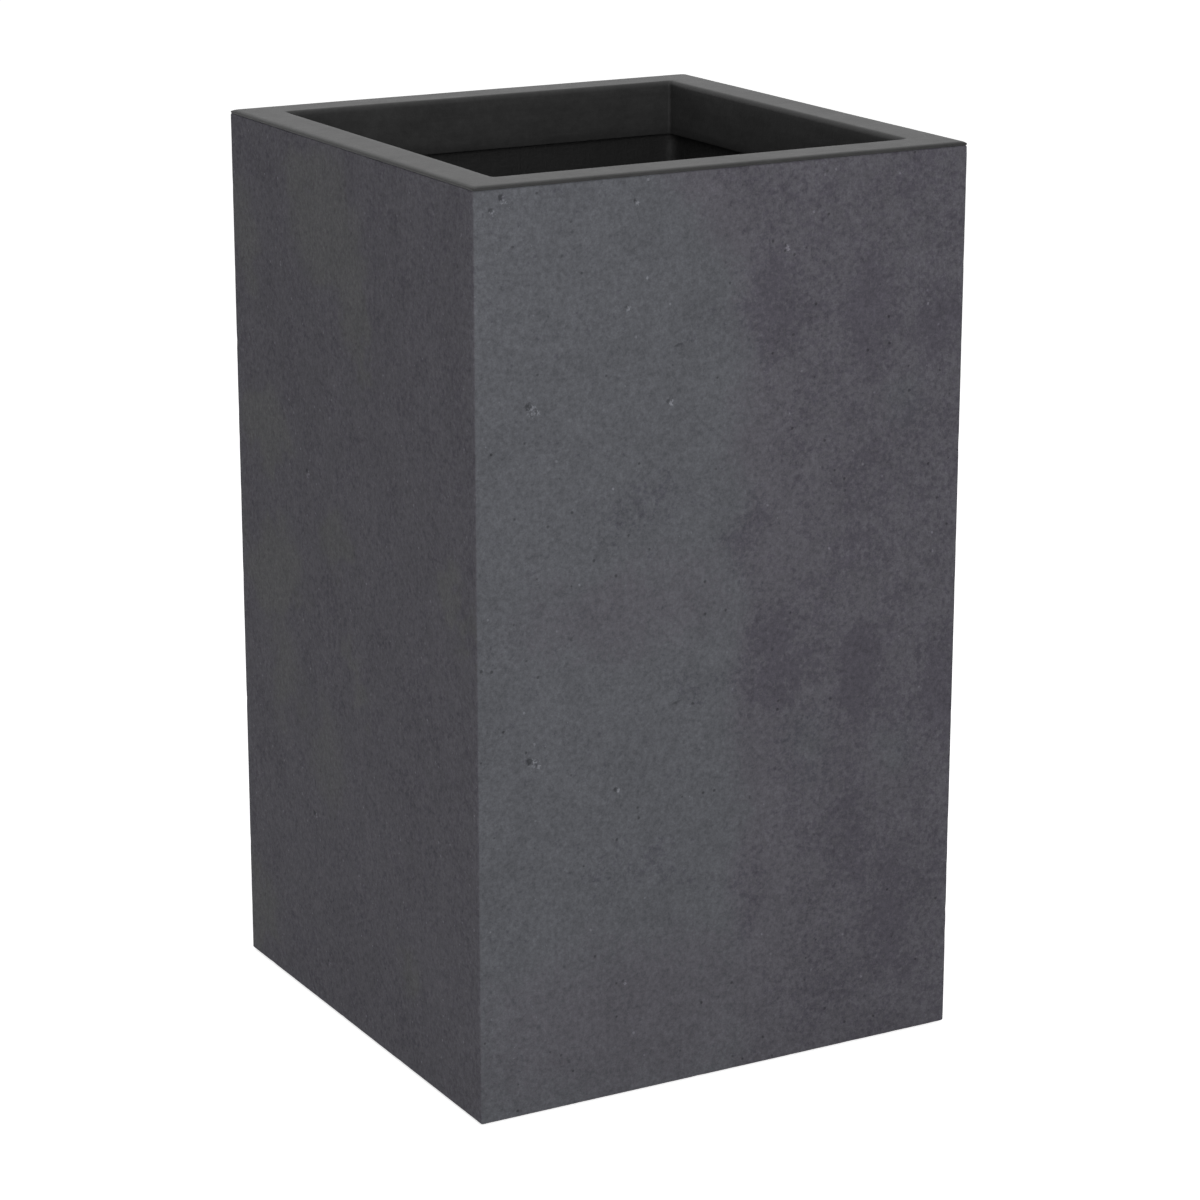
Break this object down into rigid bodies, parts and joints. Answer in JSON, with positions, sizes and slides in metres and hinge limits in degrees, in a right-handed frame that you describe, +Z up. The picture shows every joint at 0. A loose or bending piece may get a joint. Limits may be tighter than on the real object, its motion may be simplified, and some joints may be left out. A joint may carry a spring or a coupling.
{
  "type": "tall planter",
  "caption": "Tall square planter: double-skinned body, smooth rim collar with a return lip, planting floor that falls to a plugged drain, recessed underside on rubber feet.",
  "frame": {"origin": "on the floor, at the centre of the footprint", "axes": "+Z up, the front is the -Y side, +X to the right seen from the front"},
  "size_m": [0.4, 0.4, 0.68],
  "materials": {
    "stone_coat": "gritty stone-effect coat over glass-fiber laminate, matte, dark grey with cloudy patches",
    "rim_coat": "smooth matte grey coat over glass-fiber laminate, charcoal on the lip",
    "inner_laminate": "dark rough laminate",
    "base_laminate": "dark glass-fiber laminate, hidden under the planter",
    "foam": "rigid foam core, hidden",
    "bush_plastic": "black moulded plastic",
    "plug_rubber": "matte black rubber",
    "foot_rubber": "matte black rubber"
  },
  "bodies": {
    "planter": {"outer_shell": "stone_coat", "base_pan": "base_laminate", "inner_shell": "inner_laminate", "rim_collar": "rim_coat", "floor_core": "foam", "drain_bush": "bush_plastic", "wall_core_front": "foam", "wall_core_right": "foam", "wall_core_back": "foam", "wall_core_left": "foam", "foot_pad_front_left": "foot_rubber", "foot_pad_front_right": "foot_rubber", "foot_pad_back_left": "foot_rubber", "foot_pad_back_right": "foot_rubber"},
    "plug": {"drain_plug": "plug_rubber"}
  },
  "joints": [
    {"name": "drain_plug_pull", "type": "slide", "parent": "planter", "child": "plug", "axis": [0, 0, 1], "range_m": [0, 0.7]}
  ]
}
